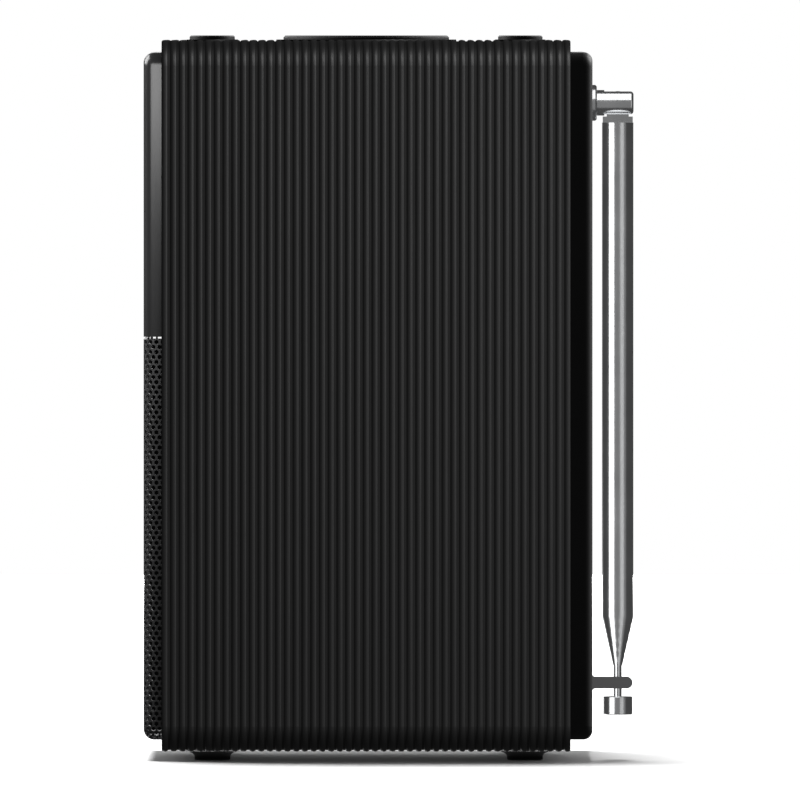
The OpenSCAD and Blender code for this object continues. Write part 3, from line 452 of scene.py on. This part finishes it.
class Skin:
    """Vertices and faces of a piece; faces share a vertex at the same place on the sheet."""

    def __init__(self):
        self.points = []
        self.faces = []
        self.seen = {}

    def vertex(self, a, b, sink=0.0):
        key = (round(a / MM, 3), round(b / MM, 3), round(sink / MM, 3))
        if key not in self.seen:
            self.seen[key] = len(self.points)
            self.points.append(tray_point(a, b, sink))
        return self.seen[key]

    def face(self, *corners):
        """Adds a face, unless it has shrunk to a line."""
        if len(set(corners)) > 2:
            self.faces.append(tuple(dict.fromkeys(corners)))

    def plate(self, a0, a1, b0, b1, steps_a=1, steps_b=1, sink=0.0):
        """Solid stretch of sheet."""
        for i in range(steps_a):
            for j in range(steps_b):
                left, right = (a0 + (a1 - a0) * k / steps_a for k in (i, i + 1))
                low, high = (b0 + (b1 - b0) * k / steps_b for k in (j, j + 1))
                corners = ((left, low), (right, low), (right, high), (left, high))
                self.face(*(self.vertex(a, b, sink) for a, b in corners))

    def cell(self, a, b, width, height):
        """One hole in its brick of sheet; a, b is the brick's lower left corner."""
        rim = [(0, 0), (0.5, 0), (1, 0), (1, 1), (0.5, 1), (0, 1)]
        outside = [self.vertex(a + u * width, b + v * height) for u, v in rim]
        hole = [
            (
                a + width / 2 + HOLE_R * math.cos(math.radians(turn)),
                b + height / 2 + HOLE_R * math.sin(math.radians(turn))
            )
            for turn in HOLE_TURNS
        ]
        mouth = [self.vertex(*corner) for corner in hole]
        inside = [self.vertex(*corner, HOLE_DEPTH) for corner in hole]
        for k in range(len(hole)):
            n = (k + 1) % len(hole)
            self.face(outside[k], outside[n], mouth[n], mouth[k])
            self.face(mouth[k], mouth[n], inside[n], inside[k])

    def object(self, name, material):
        mesh = bpy.data.meshes.new(name)
        mesh.from_pydata(self.points, [], self.faces)
        mesh.materials.append(material)
        made = bpy.data.objects.new(name, mesh)
        bpy.context.scene.collection.objects.link(made)
        for polygon in mesh.polygons:
            polygon.use_smooth = True
        mesh.set_sharp_from_angle(angle=SMOOTH_ANGLE)
        return made


def make_grille():
    """Perforated sheet, wrapped round both sides and under the bottom edge."""
    skin = Skin()
    make_grille_face(skin)
    make_grille_underside(skin)
    make_grille_corners(skin)
    make_grille_top(skin)
    grille = skin.object("grille_sheet", MATERIALS["grille_metal"])
    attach(grille, "cabinet")
    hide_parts("grille_mesh")


def make_grille_face(skin):
    """The face and both side walls, with every other row shifted by half a hole."""
    for j in range(HOLE_ROWS):
        b = CORNER_Z + j * ROW
        shifted = j % 2 == 1
        shift = PITCH / 2 * shifted
        for i in range(HOLE_COLUMNS + 2 * WALL_COLUMNS - shifted):
            skin.cell(shift - HOLES_END + i * PITCH, b, PITCH, ROW)
        for side in (-1, 1):
            if shifted:
                skin.plate(*sorted((side * HOLES_END, side * (HOLES_END - shift))), b, b + ROW)
            skin.plate(*sorted((side * HOLES_END, side * SHEET_END)), b, b + ROW, 2)


def make_grille_underside(skin):
    """The lower wall, which carries the face's rows on below its edge."""
    for j in range(UNDER_ROWS):
        b = CORNER_Z - (j + 1) * ROW
        shifted = j % 2 == 0
        shift = PITCH / 2 * shifted
        for i in range(HOLE_COLUMNS - shifted):
            skin.cell(shift - CORNER_X + i * PITCH, b, PITCH, ROW)
        if shifted:
            for side in (-1, 1):
                skin.plate(*sorted((side * CORNER_X, side * (CORNER_X - shift))), b, b + ROW)
    bottom = CORNER_Z - TRAY_LENGTH
    skin.plate(-CORNER_X, CORNER_X, bottom, CORNER_Z - UNDER_ROWS * ROW, 2 * HOLE_COLUMNS)


def make_grille_corners(skin):
    """The two rounded lower corners; rows fan out round the corner's centre."""
    height = CORNER_R * math.pi / 2 / CORNER_ROWS
    for side in (-1, 1):
        for j in range(CORNER_ROWS):
            b = CORNER_Z - (j + 1) * height
            shifted = j % 2 == 0
            count = WALL_COLUMNS - 1 - shifted
            first = CORNER_X + PITCH + PITCH / 2 * shifted
            last = first + count * PITCH
            for i in range(count):
                a = first + i * PITCH
                skin.cell(a if side > 0 else -a - PITCH, b, PITCH, height)
            skin.plate(*sorted((side * CORNER_X, side * first)), b, b + height, 3, 2)
            skin.plate(*sorted((side * last, side * SHEET_END)), b, b + height, 2, 2)


def make_grille_top(skin):
    """The top edge, folded back under the front panel."""
    top = grille_high.z
    for i in range(2 * (HOLE_COLUMNS + 2 * WALL_COLUMNS)):
        a = i * PITCH / 2 - HOLES_END
        ends = [skin.vertex(x, top) for x in (a, a + PITCH / 2)]
        folded = [skin.vertex(x, top, FOLD) for x in (a, a + PITCH / 2)]
        skin.face(ends[0], ends[1], folded[1], folded[0])


def make_cloth():
    """Acoustic cloth, stretched over the inside of the grille."""
    skin = Skin()
    length = TRAY_LENGTH - CLOTH_HEM
    top = grille_high.z - CLOTH_TOP_HEM
    bottom = CORNER_Z - length
    turn = CORNER_Z - CORNER_R * math.pi / 2
    skin.plate(-CORNER_X, CORNER_X, CORNER_Z, top, CLOTH_COLUMNS, CLOTH_ROWS, CLOTH_SINK)
    skin.plate(-CORNER_X, CORNER_X, bottom, CORNER_Z, CLOTH_COLUMNS, CLOTH_WALL_STEPS, CLOTH_SINK)
    for side in (-1, 1):
        ends = sorted((side * CORNER_X, side * (CORNER_X + length)))
        skin.plate(*ends, CORNER_Z, top, CLOTH_WALL_STEPS, CLOTH_ROWS, CLOTH_SINK)
        skin.plate(*ends, turn, CORNER_Z, CLOTH_WALL_STEPS, CLOTH_CORNER_STEPS, CLOTH_SINK)
    cloth = skin.object("acoustic_cloth", MATERIALS["acoustic_cloth"])
    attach(cloth, "cabinet")
    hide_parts("grille_cloth")


make_grille()
make_cloth()


# ---- CAD nodes ----


def dress(node):
    """Gives a CAD node the material for the slot it carries in model.glb."""
    mesh = node.data
    slot = mesh.materials[0].name
    mesh.materials.clear()
    mesh.materials.append(MATERIALS[slot])


for node in nodes.values():
    dress(node)


# ---- Floor and lights ----

WALL_GREY = 0.06
FLOOR_HALF = 3.0
FLOOR_MIDDLE = (0, 0, 0)
STUDIO_DISTANCE = 1.2
STUDIO_MIDDLE = (0, 0, 0.1)

# Strip lamps close by, just over the top of the radio and level with its front: they light the
# front's side walls, and fade downwards.
STRIP_DISTANCE = 0.2
STRIP_SIZE = (0.3, 0.08)
STRIP_TARGET = (sleeve_high.x, panel_front, 0.205)


def group(name, members):
    """Collection that a lamp lights or is shaded by; it isn't in the scene itself."""
    made = bpy.data.collections.new(name)
    for member in members:
        made.objects.link(member)
    return made


def limit(lamp, lit, shading=None):
    """Keeps a lamp to some pieces; only the shading pieces, or else all, stand in its way."""
    lamp.light_linking.receiver_collection = lit
    if shading is not None:
        lamp.light_linking.blocker_collection = shading


def add_lamp(name, kind, direction, distance, target):
    """Lamp that faces its target, from an azimuth from +X towards +Y and an elevation in degrees."""
    azimuth, elevation = (math.radians(angle) for angle in direction)
    flat = distance * math.cos(elevation)
    lamp = bpy.data.lights.new(name, kind)
    made = bpy.data.objects.new(name, lamp)
    bpy.context.scene.collection.objects.link(made)
    made.location = Vector(target) + Vector((
        flat * math.cos(azimuth), flat * math.sin(azimuth), distance * math.sin(elevation)
    ))
    made.visible_camera = False
    aim(made, target)
    return made


def softbox(name, direction, size, radiance, lit, shading=None,
            distance=STUDIO_DISTANCE, target=STUDIO_MIDDLE):
    """Area lamp of a given brightness, kept to the pieces that it lights."""
    made = add_lamp(name, "AREA", direction, distance, target)
    lamp = made.data
    lamp.shape = "RECTANGLE"
    lamp.size, lamp.size_y = size
    lamp.energy = radiance * size[0] * size[1] * math.pi
    limit(made, lit, shading)


def make_world():
    """White behind the object, and dim grey studio walls all round it."""
    world = bpy.data.worlds.new("studio")
    world.use_nodes = True
    bpy.context.scene.world = world
    tree = world.node_tree
    light = tree.nodes["Background"]
    light.inputs["Color"].default_value = (WALL_GREY, WALL_GREY, WALL_GREY, 1)
    white = tree.nodes.new("ShaderNodeBackground")
    white.inputs["Color"].default_value = (1, 1, 1, 1)
    mix = tree.nodes.new("ShaderNodeMixShader")
    seen = tree.nodes.new("ShaderNodeLightPath").outputs["Is Camera Ray"]
    tree.links.new(seen, mix.inputs["Fac"])
    tree.links.new(light.outputs[0], mix.inputs[1])
    tree.links.new(white.outputs[0], mix.inputs[2])
    tree.links.new(mix.outputs[0], tree.nodes["World Output"].inputs["Surface"])


def make_floor():
    """Pale floor; it takes the contact shadow and throws no light back."""
    mesh = bpy.data.meshes.new("floor")
    corners = [(x * FLOOR_HALF, y * FLOOR_HALF, 0) for x, y in ((-1, -1), (1, -1), (1, 1), (-1, 1))]
    mesh.from_pydata(corners, [], [(0, 1, 2, 3)])
    floor = bpy.data.objects.new("floor", mesh)
    bpy.context.scene.collection.objects.link(floor)
    finish = Finish("floor")
    speckle = finish.noise(2 * MM, 4)
    tone = finish.colours(speckle, (0.3, (0.86, 0.86, 0.86)), (0.7, (0.88, 0.88, 0.88)))
    mesh.materials.append(finish.set(Base_Color=tone, Roughness=0.9))
    floor.visible_diffuse = False
    floor.visible_glossy = False
    return floor


def make_body_lights(body):
    """Keys for the ribs and for the front's edge, and fills for the front, the rear and behind."""
    ribs = group("rib_pieces", [nodes["cabinet_sleeve"], nodes["aerial_rest"]])
    shell = group("shell_pieces", [p for p in body.objects if p.name not in ribs.objects])
    softbox("rib_key", (38, 30), (0.4, 0.6), 6.8, ribs, distance=0.8)
    softbox("front_fill", (-105, 32), (0.9, 0.9), 9.0, shell)
    softbox("rear_fill", (115, 32), (0.8, 0.8), 9.0, shell)
    softbox("far_fill", (185, 24), (1.4, 0.5), 2.5, shell)
    softbox("far_rib_fill", (205, -12), (1.0, 0.5), 5.0, ribs, body)

    strips = (
        ("panel_key", nodes["front_panel"], 7.0),
        ("grille_key", bpy.data.objects["grille_sheet"], 8.0),
    )
    for name, piece, radiance in strips:
        lit = group(f"{name}_pieces", [piece])
        softbox(name, (0, 0), STRIP_SIZE, radiance, lit, distance=STRIP_DISTANCE, target=STRIP_TARGET)


def make_chrome_lights(chrome):
    """Tall panels that show as the bright and the grey stripes of the chrome."""
    softbox("chrome_left", (-44, 0), (0.88, 1.6), 1.6, chrome, chrome)
    softbox("chrome_right", (33, 0), (0.55, 1.6), 0.35, chrome, chrome)
    softbox("chrome_front", (20, -10), (2.2, 1.6), 0.13, chrome, chrome)
    softbox("chrome_above", (0, 58), (1.2, 1.4), 1.3, chrome, chrome)
    softbox("chrome_rear", (205, -22), (0.5, 0.8), 1.2, chrome, chrome)


def make_floor_lights(floor):
    """A soft sun from behind, a low strip that shines in under the radio, and a faint haze."""
    ground = group("floor_only", [floor])
    sun = add_lamp("floor_light", "SUN", (201, 71), FLOOR_HALF, FLOOR_MIDDLE)
    sun.data.angle = math.radians(25)
    sun.data.energy = 5.6
    limit(sun, ground)
    haze = add_lamp("floor_haze", "SUN", (0, 90), FLOOR_HALF, FLOOR_MIDDLE)
    haze.data.energy = 0.03
    limit(haze, ground, ground)
    softbox(
        "floor_rim", (180, 3.2), (1.5, 0.21), 75.0, ground, distance=FLOOR_HALF, target=FLOOR_MIDDLE
    )


def make_lights(floor):
    """One set of lamps for the dark pieces, one for the chrome, and one for the floor."""
    pieces = [p for p in bpy.context.scene.objects if p.type == "MESH" and p != floor]
    bright = [p for p in pieces if p.data.materials[0] == MATERIALS["chrome"]]
    dark = [p for p in pieces if p not in bright]
    for piece in dark:
        piece.visible_glossy = False
    make_body_lights(group("body_pieces", dark))
    make_chrome_lights(group("chrome_pieces", bright))
    make_floor_lights(floor)


bpy.context.scene.view_settings.view_transform = "Standard"
make_world()
make_lights(make_floor())
